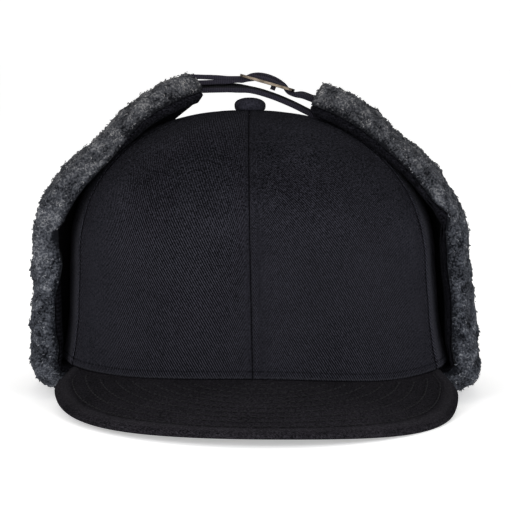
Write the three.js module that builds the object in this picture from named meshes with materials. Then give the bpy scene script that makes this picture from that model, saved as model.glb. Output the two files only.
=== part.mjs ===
// Winter cap with turned-up earflaps: a six-panel crown with a flat-stitched visor, a covered top
// button, a fleece-lined flap on each side that folds up round the rim and meets the other at the
// centre back, and a webbing strap with a metal slide that ties the two flap tips over the crown.
// Millimetres, +Z up, visor towards -Y, the wearer's left towards +X.
// The cap is modelled upright about the middle of its rim, then leaned back to rest on a flat
// surface on its visor and on the fold of the flaps behind.
import * as THREE from 'three';

// Driving dimensions

const CROWN = {
  halfWidth: 91.5,
  frontLength: 100,
  backLength: 98,
  height: 124,
  apexBack: 4, // the button sits this far behind the middle of the rim
  apexRight: 3.8, // and this far towards the wearer's right
  planPower: 2.15, // superellipse of the plan, a little squarer than an ellipse
  wallShare: 0.3, // share of a meridian that is side wall, before the dome begins
  topReach: 0.983, // the panels stop here, under the button
  wall: 2,
  flare: 4.2, // the rim stands out by this much where the flap is folded round it
  flareHeight: 30,
  flareFrom: 50, // degrees from the front between which that flare grows
  flareTo: 74,
  // Where the wall ends, how square the dome is and how far the wall has leant in, by direction.
  front: { shoulder: 36, power: 2.4, lean: 0.975 },
  side: { shoulder: 54, power: 2.18, lean: 0.972 },
  back: { shoulder: 40, power: 2.05, lean: 0.985 },
};

const SEAM_GAP = 0.3; // left between neighbouring pieces
const PANEL_SEAMS = [
  { name: 'panel_front_left', from: -1, to: 65 },
  { name: 'panel_side_left', from: 65, to: 122 },
  { name: 'panel_back_left', from: 122, to: 180 },
  { name: 'panel_front_right', from: -67, to: -1 },
  { name: 'panel_side_right', from: -122, to: -67 },
  { name: 'panel_back_right', from: -180, to: -122 },
];

const VISOR = {
  halfWidth: 94.5,
  centreY: -54, // centre of the ellipse that the outer edge follows
  reach: 116, // from that centre to the front edge
  edgeSpan: 99, // degrees of that ellipse used on each side
  seamSpan: 66, // degrees of the crown's rim that the visor is sewn to, each side
  slope: 11.8, // degrees down towards the front
  arch: 15.5, // drop of the sides below the middle
  leftDroop: 3, // how much further the outer edge hangs on the wearer's left
  droopFrom: 45, // that droop grows between these distances in front of the rim's middle
  droopTo: 100,
  seamRise: 3, // height of the middle of the seam over its ends
  thickness: 3,
  edgeRound: 1.1, // how far the top and bottom draw in from the rolled edge
  tuck: 2.4, // how far the visor passes under the crown's edge
  levelFrom: 69, // degrees from the front between which the rim leaves the visor and turns level
  levelTo: 97,
  // The rear corners are cut back: from this share of the half width on, down to this share of the
  // visor's length.
  cornerFrom: 0.86,
  cornerTo: 1.02,
  cornerLength: 0.45,
};

const BUTTON = { radius: 7.6, height: 5.9, shank: 2.8, shankDepth: 2.4 };

const FLAP = {
  legReach: 0.12, // the flap is sewn this far up inside the rim
  legGap: 0.8,
  rimGap: 0.5, // left outside the rim, where the flap comes round it
  shell: 3.6, // outer cloth with its padding
  tipPadding: 1, // more of it towards the tip
  shellInside: 1.4,
  lining: 11.5, // curly fleece pile
  liningInside: 5.5,
  foldDepth: 1.5, // space under the rim's edge inside the fold
  shellFold: 1.9, // thickness of the shell and the fleece under the rim
  liningFold: 6.4,
  settled: 0.16, // share of the climb by which the flap has its full thickness
  edgePart: 0.28, // share of the flap over which it changes from its front edge's set to its own
  foldPart: 0.3, // and over which the fold's extra depth and swell at the front fade away
  edgeRound: 0.035, // how far the outer face draws in at the free edges
  shellRound: 0.009, // and the face against the crown
};

// The flap from its front edge (share 0) to the centre back (share 1): where each strip leaves the
// rim, where it ends, and how far up the crown's meridian it reaches.
const FLAP_OUTLINE = [
  { share: 0, baseAzimuth: 69, topAzimuth: 58, topReach: 0.855 },
  { share: 0.14, baseAzimuth: 84, topAzimuth: 88, topReach: 0.868 },
  { share: 0.27, baseAzimuth: 98, topAzimuth: 118, topReach: 0.83 },
  { share: 0.38, baseAzimuth: 110, topAzimuth: 131, topReach: 0.69 },
  { share: 0.52, baseAzimuth: 125, topAzimuth: 142, topReach: 0.54 },
  { share: 0.72, baseAzimuth: 148, topAzimuth: 157, topReach: 0.43 },
  { share: 1, baseAzimuth: 180, topAzimuth: 180, topReach: 0.4 },
];

// How far each flap's front edge stands off the crown on its way up, and how thick its pile is as a
// share of the full pile, at that edge and beside it; up is the reach along the meridian.
const FRONT_EDGE = [
  { up: 0, leftGap: 0.5, leftPile: 1, leftSide: 1, rightGap: 0.5, rightPile: 1, rightSide: 1 },
  { up: 0.08, leftGap: 4, leftPile: 0.85, leftSide: 0.9, rightGap: 5.5, rightPile: 0.95, rightSide: 0.88 },
  { up: 0.2, leftGap: 6, leftPile: 0.72, leftSide: 0.85, rightGap: 7.5, rightPile: 0.78, rightSide: 0.9 },
  { up: 0.3, leftGap: 5.5, leftPile: 0.72, leftSide: 0.88, rightGap: 7.5, rightPile: 0.8, rightSide: 0.94 },
  { up: 0.4, leftGap: 6.5, leftPile: 0.66, leftSide: 0.82, rightGap: 8.5, rightPile: 0.74, rightSide: 0.82 },
  { up: 0.5, leftGap: 4, leftPile: 0.62, leftSide: 0.7, rightGap: 5, rightPile: 0.7, rightSide: 0.58 },
  { up: 0.62, leftGap: 1.2, leftPile: 0.58, leftSide: 0.5, rightGap: 1.2, rightPile: 0.62, rightSide: 0.4 },
  { up: 0.76, leftGap: 1.4, leftPile: 0.86, leftSide: 0.78, rightGap: 4, rightPile: 0.76, rightSide: 0.66 },
  { up: 1, leftGap: 2.6, leftPile: 1.2, leftSide: 1.3, rightGap: 8, rightPile: 1.05, rightSide: 1.05 },
];
const BACK_GAP = 1.2;

// The two flaps are folded up a little differently: how much further the tip reaches, and how much
// deeper and fuller the fold is at the front edge.
const FLAP_SIDES = [
  { name: 'left', side: 1, tipReach: 0, frontDrop: 0.42, frontSwell: 2.2 },
  { name: 'right', side: -1, tipReach: 0.035, frontDrop: 0.3, frontSwell: 2.6 },
];

const STRAP = { width: 14, thickness: 1.7, y: 6, twist: 6 };
const SLIDE = {
  x: 4.5, z: 137.4, tilt: -15.5,
  length: 27.6, width: 22, thickness: 1.4, corner: 3,
  endBar: 2.2, slot: 9.6, slotWidth: 16,
};

// How far the cap leans back to rest on a flat surface, which presses the fold behind flat.
const REST_LEAN = 1.9;

// Small mathematics

const rad = THREE.MathUtils.degToRad;
const mix = THREE.MathUtils.lerp;
const smooth = THREE.MathUtils.smoothstep;
const signedPower = (value, power) => Math.sign(value) * Math.abs(value) ** power;

// A curve from value a to value b whose slopes at its ends are p and q, at t from 0 to 1.
function hermite(a, b, p, q, t) {
  const rise = b - a;
  const bend = 3 * rise - 2 * p - q;
  const twist = p + q - 2 * rise;
  return a + t * (p + t * (bend + t * twist));
}

// The value of one named column of a table at a place between its rows, on a smooth curve.
function lookUp(table, key, at, column) {
  const last = table.length - 1;
  if (at <= table[0][key]) return table[0][column];
  if (at >= table[last][key]) return table[last][column];
  const k = table.findIndex((row) => row[key] > at) - 1;
  const row = (n) => table[THREE.MathUtils.clamp(n, 0, last)];
  const span = row(k + 1)[key] - row(k)[key];
  const t = (at - row(k)[key]) / span;
  const slope = (n) => {
    const run = row(n + 1)[key] - row(n - 1)[key];
    return ((row(n + 1)[column] - row(n - 1)[column]) / run) * span;
  };
  return hermite(row(k)[column], row(k + 1)[column], slope(k), slope(k + 1), t);
}

// The crown's surface

// Height of the visor's top face over a point of the plan: a sheet that slopes and is arched.
function visorTop(x, y) {
  const forward = -y - CROWN.frontLength;
  const wide = (x / VISOR.halfWidth) ** 2;
  const droop = x > 0 ? VISOR.leftDroop * smooth(-y, VISOR.droopFrom, VISOR.droopTo) : 0;
  return VISOR.seamRise - Math.tan(rad(VISOR.slope)) * forward - (VISOR.arch + droop) * wide;
}

function planPoint(azimuth, share) {
  const bow = 2 / CROWN.planPower;
  const length = Math.cos(azimuth) > 0 ? CROWN.frontLength : CROWN.backLength;
  return {
    x: CROWN.halfWidth * signedPower(Math.sin(azimuth), bow) * share,
    y: -length * signedPower(Math.cos(azimuth), bow) * share,
  };
}

// The rim rides on the visor in front, and is level round the sides and back.
function rimHeight(azimuth) {
  const { x, y } = planPoint(azimuth, 1);
  const onVisor = 1 - smooth(Math.abs(azimuth), rad(VISOR.levelFrom), rad(VISOR.levelTo));
  return onVisor * (visorTop(x, y) + SEAM_GAP);
}

// A point of the crown's outer face: azimuth from the front, reach 0 at the rim and 1 at the apex.
function crownSurface(azimuth, reach) {
  const front = Math.max(0, Math.cos(azimuth)) ** 2;
  const back = Math.max(0, -Math.cos(azimuth)) ** 2;
  const blend = (key) =>
    front * CROWN.front[key] + back * CROWN.back[key] + (1 - front - back) * CROWN.side[key];
  const shoulder = blend('shoulder');
  let share;
  let z;
  if (reach < CROWN.wallShare) {
    const climb = reach / CROWN.wallShare;
    z = mix(rimHeight(azimuth), shoulder, climb);
    share = mix(1, blend('lean'), climb);
  } else {
    const angle = ((reach - CROWN.wallShare) / (1 - CROWN.wallShare)) * (Math.PI / 2);
    const power = 2 / blend('power');
    share = blend('lean') * Math.cos(angle) ** power;
    z = shoulder + (CROWN.height - shoulder) * Math.sin(angle) ** power;
  }
  const turned = smooth(Math.abs(azimuth), rad(CROWN.flareFrom), rad(CROWN.flareTo));
  const flareHere = CROWN.flare * turned;
  const flareLeft = Math.max(0, 1 - Math.max(0, z) / CROWN.flareHeight) ** 2;
  share += (flareHere * flareLeft) / CROWN.halfWidth;
  const { x, y } = planPoint(azimuth, share);
  const rise = z / CROWN.height;
  return new THREE.Vector3(x - CROWN.apexRight * rise, y + CROWN.apexBack * rise, z);
}

function crownNormal(azimuth, reach) {
  const step = 1e-3;
  const low = Math.max(reach - step, 0);
  const round = crownSurface(azimuth + step, reach).sub(crownSurface(azimuth - step, reach));
  const up = crownSurface(azimuth, reach + step).sub(crownSurface(azimuth, low));
  return round.cross(up).normalize();
}

const crownPoint = (azimuth, reach, offset) =>
  crownSurface(azimuth, reach).addScaledVector(crownNormal(azimuth, reach), offset);

// Solids from grids

// A closed solid between stacked grids of points. The first and last layers are its two faces;
// the layers between them only shape the rim that joins the faces.
function layeredSolid(columns, rows, layers) {
  const positions = [];
  const grids = layers.map((layer) => {
    const grid = [];
    for (let i = 0; i <= columns; i++) {
      for (let j = 0; j <= rows; j++) {
        const p = layer(i, j);
        grid.push(positions.length / 3);
        positions.push(p.x, p.y, p.z);
      }
    }
    return grid;
  });
  const at = (grid, i, j) => grid[i * (rows + 1) + j];
  const faces = [];
  const quad = (a, b, c, d) => faces.push(a, b, c, a, c, d);
  const [bottom, top] = [grids[0], grids[grids.length - 1]];
  for (let i = 0; i < columns; i++) {
    for (let j = 0; j < rows; j++) {
      quad(at(top, i, j), at(top, i + 1, j), at(top, i + 1, j + 1), at(top, i, j + 1));
      quad(at(bottom, i, j), at(bottom, i, j + 1), at(bottom, i + 1, j + 1), at(bottom, i + 1, j));
    }
  }
  const loop = [];
  for (let i = 0; i < columns; i++) loop.push([i, 0]);
  for (let j = 0; j < rows; j++) loop.push([columns, j]);
  for (let i = columns; i > 0; i--) loop.push([i, rows]);
  for (let j = rows; j > 0; j--) loop.push([0, j]);
  for (let k = 0; k + 1 < grids.length; k++) {
    loop.forEach(([i, j], n) => {
      const [p, q] = loop[(n + 1) % loop.length];
      quad(at(grids[k], i, j), at(grids[k], p, q), at(grids[k + 1], p, q), at(grids[k + 1], i, j));
    });
  }
  return facingOut(positions, faces);
}

// A geometry from points and triangles, turned the right way round.
function facingOut(positions, faces) {
  const corner = (n) => new THREE.Vector3().fromArray(positions, 3 * faces[n]);
  let volume = 0;
  for (let n = 0; n < faces.length; n += 3) {
    volume += corner(n).dot(corner(n + 1).cross(corner(n + 2)));
  }
  if (volume < 0) {
    faces.reverse();
  }
  const geometry = new THREE.BufferGeometry();
  geometry.setAttribute('position', new THREE.Float32BufferAttribute(positions, 3));
  geometry.setIndex(faces);
  geometry.computeVertexNormals();
  return geometry;
}

function lowestPoint(geometry) {
  geometry.computeBoundingBox();
  return geometry.boundingBox.min.z;
}

// Crown panels

function panelGeometry({ from, to }) {
  const columns = 7;
  const rows = 12;
  const face = (offset) => (i, j) => {
    const reach = (CROWN.topReach * j) / rows;
    const azimuth = mix(rad(from), rad(to), i / columns);
    const step = 1e-3;
    const moved = crownSurface(azimuth + step, reach).distanceTo(crownSurface(azimuth, reach));
    const seam = (SEAM_GAP / 2) * (step / moved);
    const inset = i === 0 ? seam : i === columns ? -seam : 0;
    const p = crownPoint(azimuth + inset, reach, offset);
    const onVisor = j === 0 && Math.abs(azimuth) < rad(VISOR.seamSpan);
    return onVisor ? p.setZ(visorTop(p.x, p.y) + SEAM_GAP) : p;
  };
  return layeredSolid(columns, rows, [face(-CROWN.wall), face(0)]);
}

// Visor

function visorGeometry() {
  const columns = 28;
  const rows = 5;
  const plan = (i, j) => {
    const along = (2 * i) / columns - 1;
    const inner = crownPoint(rad(VISOR.seamSpan * along), 0, -VISOR.tuck);
    const angle = rad(VISOR.edgeSpan * along);
    const outer = new THREE.Vector3(
      VISOR.halfWidth * Math.sin(angle),
      VISOR.centreY - VISOR.reach * Math.cos(angle),
      0,
    );
    const corner = smooth(Math.abs(along), VISOR.cornerFrom, VISOR.cornerTo);
    return inner.lerp(outer, (j / rows) * mix(1, VISOR.cornerLength, corner));
  };
  const face = (depth, drawIn) => (i, j) => {
    const p = plan(i, j);
    const edge = j === rows ? drawIn : 0;
    const middle = new THREE.Vector3(0, VISOR.centreY, 0);
    const flat = new THREE.Vector3(p.x, p.y, 0);
    flat.lerp(middle, edge / flat.distanceTo(middle));
    return new THREE.Vector3(flat.x, flat.y, visorTop(flat.x, flat.y) - depth);
  };
  return layeredSolid(columns, rows, [
    face(VISOR.thickness, VISOR.edgeRound),
    face(VISOR.thickness / 2, 0),
    face(0, VISOR.edgeRound),
  ]);
}

// Top button

function buttonGeometry() {
  const { radius, height, shank, shankDepth } = BUTTON;
  const profile = [
    [0, -shankDepth], [shank, -shankDepth], [shank, 0], [radius * 0.95, 0],
    [radius, height * 0.25], [radius, height * 0.48], [radius * 0.9, height * 0.7],
    [radius * 0.64, height * 0.88], [radius * 0.32, height * 0.97], [0, height],
  ];
  return new THREE.LatheGeometry(profile.map(([r, z]) => new THREE.Vector2(r, z)), 20);
}

// Earflaps

// Rows of points across the flap, from where it is sewn inside the rim to its outer edge: the leg
// inside the crown, the fold round the rim's edge, and the climb over the crown.
const LEG_ROWS = 2;
const FOLD_ROWS = 6;
const CLIMB_ROWS = 11;
const FLAP_COLUMNS = 17;

// The height of the resting surface under the upright cap: it touches the visor's lowest point.
const restDepth = lowestPoint(visorGeometry().rotateX(-rad(REST_LEAN)));
const restPlane = (y) => (y * Math.sin(rad(REST_LEAN)) + restDepth) / Math.cos(rad(REST_LEAN));

const levelNormal = (azimuth) => crownNormal(azimuth, 0.001).setZ(0).normalize();

// One face of a flap: inside, outside and depth place it round the rim. Over the crown it lies on
// top of the shell or under it, with a gap and the pile over that. round draws in the free edges.
function flapFace(flap, { inside, outside, depth, onShell, clear = 0, over = 0, round = 0 }) {
  const within = -CROWN.wall - inside;
  return (i, j) => {
    const share = mix(round, 1, i / FLAP_COLUMNS);
    const at = (column) => lookUp(FLAP_OUTLINE, 'share', share, column);
    const base = rad(at('baseAzimuth'));
    const seam = i === FLAP_COLUMNS ? SEAM_GAP / 2 / CROWN.backLength : 0;
    const rimAzimuth = flap.side * (base - seam);
    if (j < LEG_ROWS) {
      return crownPoint(rimAzimuth, mix(FLAP.legReach, 0, j / LEG_ROWS), within);
    }
    const nearFront = 1 - smooth(share, 0, FLAP.foldPart);
    const swollen = outside + over * flap.frontSwell * nearFront;
    if (j < LEG_ROWS + FOLD_ROWS) {
      const turn = ((j - LEG_ROWS) / (FOLD_ROWS - 1)) * Math.PI;
      const across = mix(within, swollen, (1 - Math.cos(turn)) / 2);
      const p = crownSurface(rimAzimuth, 0).addScaledVector(levelNormal(rimAzimuth), across);
      const hang = depth * (1 + flap.frontDrop * nearFront);
      return p.setZ(Math.max(p.z - hang * Math.sin(turn), restPlane(p.y)));
    }
    const climb = (j - LEG_ROWS - FOLD_ROWS + 1) / CLIMB_ROWS;
    const tip = smooth(climb, 0.5, 1) * (1 - smooth(share, 0.2, 0.45));
    const reach = (at('topReach') + flap.tipReach * tip) * climb * (1 - round * climb);
    const azimuth = flap.side * (mix(base, rad(at('topAzimuth')), climb ** 2) - seam);
    const awayFromEdge = smooth(share, 0, FLAP.edgePart);
    const edge = (column) => lookUp(FRONT_EDGE, 'up', reach, flap.name + column);
    const gap = mix(edge('Gap'), mix(BACK_GAP, edge('Gap'), tip), awayFromEdge);
    const shell = onShell ? FLAP.shell + FLAP.tipPadding * tip + clear : 0;
    const pile = mix(edge('Pile'), edge('Side'), awayFromEdge);
    const thickness = shell + over * FLAP.lining * pile;
    const settled = smooth(climb, 0, FLAP.settled); // from the fold's thickness to the full one
    const outward = levelNormal(azimuth).lerp(crownNormal(azimuth, reach), smooth(reach, 0, 0.1));
    const p = crownSurface(azimuth, reach);
    return p.addScaledVector(outward.normalize(), mix(swollen, gap + thickness, settled));
  };
}

function flapShellGeometry(flap) {
  const inner = {
    inside: FLAP.legGap,
    outside: FLAP.rimGap,
    depth: FLAP.foldDepth,
    onShell: false,
  };
  return layeredSolid(FLAP_COLUMNS, LEG_ROWS + FOLD_ROWS + CLIMB_ROWS - 1, [
    flapFace(flap, { ...inner, round: FLAP.shellRound }),
    flapFace(flap, {
      inside: inner.inside + FLAP.shellInside,
      outside: inner.outside + FLAP.shellFold,
      depth: inner.depth + FLAP.shellFold,
      onShell: true,
    }),
  ]);
}

function flapLiningGeometry(flap) {
  const layer = (over, round) => flapFace(flap, {
    inside: FLAP.legGap + FLAP.shellInside + SEAM_GAP + over * FLAP.liningInside,
    outside: FLAP.rimGap + FLAP.shellFold + SEAM_GAP + over * FLAP.lining,
    depth: FLAP.foldDepth + FLAP.shellFold + SEAM_GAP + over * FLAP.liningFold,
    onShell: true,
    clear: SEAM_GAP,
    over,
    round,
  });
  return layeredSolid(FLAP_COLUMNS, LEG_ROWS + FOLD_ROWS + CLIMB_ROWS - 1, [
    layer(0, 0), layer(0.6, 0), layer(1, FLAP.edgeRound),
  ]);
}

// Strap and slide

// A flat strap along a smooth line of points that lies in an upright plane across the cap. twist
// turns it about its own length.
function strapGeometry(points, steps, twist = 0) {
  const line = new THREE.CatmullRomCurve3(points.map(([x, z]) => new THREE.Vector3(x, STRAP.y, z)));
  const corners = [[-1, -1], [1, -1], [1, 1], [-1, 1]].map(([across, over]) =>
    new THREE.Vector2((across * STRAP.width) / 2, (over * STRAP.thickness) / 2));
  const section = new THREE.Shape(corners.map((p) => p.rotateAround(new THREE.Vector2(), rad(twist))));
  return new THREE.ExtrudeGeometry(section, { extrudePath: line, steps });
}

// A point beside the slide, along and over its plate, in the cap's own frame.
function bySlide(along, over) {
  const [c, s] = [Math.cos(rad(SLIDE.tilt)), Math.sin(rad(SLIDE.tilt))];
  return [SLIDE.x + along * c - over * s, SLIDE.z + along * s + over * c];
}

// The points of a rectangle with rounded corners, a and b being half its length and width.
function roundedRectangle(a, b, corner) {
  const points = [];
  const corners = [[a, b], [-a, b], [-a, -b], [a, -b]];
  corners.forEach(([x, y], quarter) => {
    for (let n = 0; n <= 3; n++) {
      const angle = (quarter + n / 3) * (Math.PI / 2);
      points.push(new THREE.Vector2(
        x - Math.sign(x) * corner + corner * Math.cos(angle),
        y - Math.sign(y) * corner + corner * Math.sin(angle),
      ));
    }
  });
  return points;
}

function slideGeometry() {
  const { length, width, thickness, corner, endBar, slot, slotWidth } = SLIDE;
  const plate = new THREE.Shape(roundedRectangle(length / 2, width / 2, corner));
  for (const side of [-1, 1]) {
    const middle = side * (length / 2 - endBar - slot / 2);
    const outline = roundedRectangle(slot / 2, slotWidth / 2, 1);
    plate.holes.push(new THREE.Path(outline.map((p) => p.setX(p.x + middle))));
  }
  const geometry = new THREE.ExtrudeGeometry(plate, { depth: thickness, bevelEnabled: false });
  return geometry.translate(0, 0, -thickness / 2);
}

// Materials

const cloth = new THREE.MeshStandardMaterial({ color: 0x1b1b21, roughness: 0.95, metalness: 0 });
const fleece = new THREE.MeshStandardMaterial({ color: 0x4a4f57, roughness: 1, metalness: 0 });
const webbing = new THREE.MeshStandardMaterial({ color: 0x17161b, roughness: 0.8, metalness: 0 });
const metal = new THREE.MeshStandardMaterial({ color: 0x8a7a68, roughness: 0.35, metalness: 1 });

function piece(name, geometry, material) {
  const mesh = new THREE.Mesh(geometry, material);
  mesh.name = name;
  return mesh;
}

// Assembly

const cap = new THREE.Group();

for (const panel of PANEL_SEAMS) cap.add(piece(panel.name, panelGeometry(panel), cloth));

cap.add(piece('visor', visorGeometry(), cloth));

const button = piece('top_button', buttonGeometry(), cloth);
button.rotation.x = Math.PI / 2;
button.position.set(-CROWN.apexRight, CROWN.apexBack, CROWN.height + SEAM_GAP);
cap.add(button);

for (const flap of FLAP_SIDES) {
  cap.add(piece(`flap_shell_${flap.name}`, flapShellGeometry(flap), cloth));
  cap.add(piece(`flap_lining_${flap.name}`, flapLiningGeometry(flap), fleece));
}

const slide = piece('strap_slide', slideGeometry(), metal);
slide.position.set(SLIDE.x, STRAP.y, SLIDE.z);
slide.rotation.y = -rad(SLIDE.tilt);
cap.add(slide);

// From the right flap's tip, under the slide's end bar and round its middle bar.
const strapFixed = [
  [-26.4, 137.95], [-18, 137.95], bySlide(-16.4, -3.7), bySlide(-13.2, -4.05),
  bySlide(-11.4, -4), bySlide(-7.4, -3.1), bySlide(-4.2, 0), bySlide(-1.9, 1.85),
  bySlide(1.9, 1.85), bySlide(3.7, 0.2), bySlide(3.5, -2.4),
];
// From the left flap's tip, through the slide over the fixed strap, and back along it as a tail.
const strapRunning = [
  [25.9, 129.8], [21.5, 131], bySlide(16.2, -2.1), bySlide(12.8, -2.05), bySlide(11.4, -1.95),
  bySlide(9, -0.4), bySlide(5.2, 2.7), bySlide(0, 3.9), bySlide(-5.2, 2.75), bySlide(-9, -0.35),
  bySlide(-11.4, -1.9), bySlide(-13.2, -2), bySlide(-16.6, -1.65), [-18, 140], [-26, 140],
];
const strapLower = [
  [-26, 134.3], [-14, 134.2], [-3, 133.1], [6, 130.7], [16, 126.6], [25.2, 122.4],
];
cap.add(piece('strap_fixed', strapGeometry(strapFixed, 26), webbing));
cap.add(piece('strap_running', strapGeometry(strapRunning, 40), webbing));
cap.add(piece('strap_lower', strapGeometry(strapLower, 12, STRAP.twist), webbing));

// Lean the cap back onto its visor and rear fold, then put the origin under its middle.
cap.rotation.x = -rad(REST_LEAN);
const part = new THREE.Group();
part.add(cap);
part.updateMatrixWorld(true);
const extent = new THREE.Box3().setFromObject(cap, true);
const middle = extent.getCenter(new THREE.Vector3());
cap.position.set(-middle.x, -middle.y, -extent.min.z);

export default part;
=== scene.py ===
import math

import bmesh
import bpy
import numpy as np
from mathutils import Matrix, Vector


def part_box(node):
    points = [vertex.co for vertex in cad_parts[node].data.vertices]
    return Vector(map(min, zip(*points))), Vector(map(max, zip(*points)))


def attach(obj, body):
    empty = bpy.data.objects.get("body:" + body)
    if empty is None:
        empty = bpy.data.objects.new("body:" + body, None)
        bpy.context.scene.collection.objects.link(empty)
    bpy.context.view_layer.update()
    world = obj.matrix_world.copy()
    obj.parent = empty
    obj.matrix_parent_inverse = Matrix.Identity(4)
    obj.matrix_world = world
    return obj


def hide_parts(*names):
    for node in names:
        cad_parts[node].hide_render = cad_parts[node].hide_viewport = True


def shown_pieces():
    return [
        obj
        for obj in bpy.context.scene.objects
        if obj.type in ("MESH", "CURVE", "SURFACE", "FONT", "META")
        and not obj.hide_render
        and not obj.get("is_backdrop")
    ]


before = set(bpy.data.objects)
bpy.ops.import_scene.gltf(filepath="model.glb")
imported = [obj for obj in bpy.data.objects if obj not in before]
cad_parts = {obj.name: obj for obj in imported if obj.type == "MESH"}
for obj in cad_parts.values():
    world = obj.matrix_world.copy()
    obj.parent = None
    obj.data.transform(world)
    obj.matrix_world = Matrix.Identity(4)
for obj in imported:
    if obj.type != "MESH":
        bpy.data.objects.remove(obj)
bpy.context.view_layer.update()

# Sizes are in millimetres in the upright cap's own frame: origin at the middle of the rim, +Z up,
# the visor towards -Y, the wearer's left towards +X. place() leans the cap back as it rests and
# gives metres in the model's frame.

crown = {
    "halfWidth": 91.5,
    "frontLength": 100.0,
    "backLength": 98.0,
    "height": 124.0,
    "apexBack": 4.0,
    "apexRight": 3.8,
    "planPower": 2.15,
    "wallShare": 0.3,
    "topReach": 0.983,
    "wall": 2.0,
    "flare": 4.2,
    "flareHeight": 30.0,
    "flareFrom": 50.0,
    "flareTo": 74.0,
    "shoulder": (36.0, 54.0, 40.0),   # front, side, back
    "power": (2.4, 2.18, 2.05),
    "lean": (0.975, 0.972, 0.985),
}

visor = {
    "halfWidth": 94.5,
    "centreY": -54.0,
    "reach": 116.0,
    "edgeSpan": 99.0,
    "seamSpan": 66.0,
    "slope": 11.8,
    "arch": 15.5,
    "leftDroop": 3.0,
    "droopFrom": 45.0,
    "droopTo": 100.0,
    "seamRise": 3.0,
    "thickness": 3.0,
    "tuck": 2.4,
    "levelFrom": 69.0,
    "levelTo": 97.0,
    "cornerFrom": 0.86,
    "cornerTo": 1.02,
    "cornerLength": 0.45,
}

seamGap = 0.3
restLean = math.radians(1.9)
slidePlace = {"x": 4.5, "y": 6.0, "z": 137.4, "tilt": -15.5}


# Small mathematics

def mix(a, b, t):
    return a + (b - a) * t


def smoothStep(value, low, high):
    # 3t^2 - 2t^3, with t the place of the value between low and high, kept to 0..1
    t = np.clip((value - low) / (high - low), 0.0, 1.0)
    return t * t * (3.0 - 2.0 * t)


def unit(vectors):
    return vectors / np.maximum(np.linalg.norm(vectors, axis=-1, keepdims=True), 1e-12)


def signedPower(value, power):
    return np.sign(value) * np.abs(value) ** power


def tableCurve(knots, values, at):
    # a cubic through the table's rows whose slope at each row is that of the line between its
    # neighbours, held level beyond the two ends
    knots, values = np.asarray(knots, float), np.asarray(values, float)
    before = np.maximum(np.arange(len(knots)) - 1, 0)
    after = np.minimum(np.arange(len(knots)) + 1, len(knots) - 1)
    slopes = (values[after] - values[before]) / (knots[after] - knots[before])
    at = np.clip(at, knots[0], knots[-1])
    k = np.clip(np.searchsorted(knots, at, side="right") - 1, 0, len(knots) - 2)
    span = knots[k + 1] - knots[k]
    t = (at - knots[k]) / span
    rise = values[k + 1] - values[k]
    p, q = slopes[k] * span, slopes[k + 1] * span
    return values[k] + t * (p + t * (3 * rise - 2 * p - q + t * (p + q - 2 * rise)))


def latticeValue(cell, seed):
    # a repeatable value from 0 to 1 for each whole-numbered cell, from a mixed-up integer product
    c = cell.astype(np.int64)
    h = (c[..., 0] * 73856093) ^ (c[..., 1] * 19349663) ^ (c[..., 2] * 83492791) ^ (seed * 2654435761)
    h = (h ^ (h >> 13)) * 1274126177 & 0xFFFFFFFF
    h = (h ^ (h >> 16)) * 2246822519 & 0xFFFFFFFF
    return ((h ^ (h >> 15)) & 0xFFFFFF) / float(0xFFFFFF)


def softNoise(points, size, seed=0):
    # smooth noise from -1 to 1: the values of a cell's eight corners, blended by smooth steps
    p = points / size
    base = np.floor(p)
    f = p - base
    f = f * f * (3 - 2 * f)
    total = 0.0
    for corner in np.ndindex(2, 2, 2):
        wx, wy, wz = (f[..., k] if corner[k] else 1 - f[..., k] for k in range(3))
        total = total + latticeValue(base + np.array(corner), seed) * (wx * wy) * wz
    return total * 2 - 1


def lumps(points, size, seed=0):
    # round lumps from 0 to 1: one minus the distance to the nearest of the scattered centres, one
    # centre in each cell, with a round top
    p = points / size
    base = np.floor(p)
    nearest = np.full(p.shape[:-1], 9.0)
    for neighbour in np.ndindex(3, 3, 3):
        cell = base + np.array(neighbour) - 1
        spot = np.stack([latticeValue(cell, seed + n) for n in (11, 29, 47)], axis=-1)
        nearest = np.minimum(nearest, np.sum((cell + spot - p) ** 2, axis=-1))
    return np.clip(1.0 - nearest / 0.75, 0.0, 1.0)


def layeredNoise(points, layers, seed):
    # the sum of soft noises, each of a size and a height
    return sum(softNoise(points, size, seed + n) * height for n, (size, height) in enumerate(layers))


def bell(value, at, width, height=1.0):
    return height * np.exp(-((value - at) / width) ** 2)


# The crown's surface: azimuth from the front in radians, reach 0 at the rim and 1 at the apex

def visorTop(x, y):
    # a plane that falls towards the front, less a drop that grows as the square of the width
    droop = np.where(x > 0, visor["leftDroop"] * smoothStep(-y, visor["droopFrom"], visor["droopTo"]), 0.0)
    fall = math.tan(math.radians(visor["slope"])) * (-y - crown["frontLength"])
    return visor["seamRise"] - fall - (visor["arch"] + droop) * (x / visor["halfWidth"]) ** 2


def planPoint(azimuth, share):
    # a superellipse: half width by sine, length by cosine, both raised to 2 / power
    bow = 2.0 / crown["planPower"]
    length = np.where(np.cos(azimuth) > 0, crown["frontLength"], crown["backLength"])
    x = crown["halfWidth"] * signedPower(np.sin(azimuth), bow) * share
    return x, -length * signedPower(np.cos(azimuth), bow) * share


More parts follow.
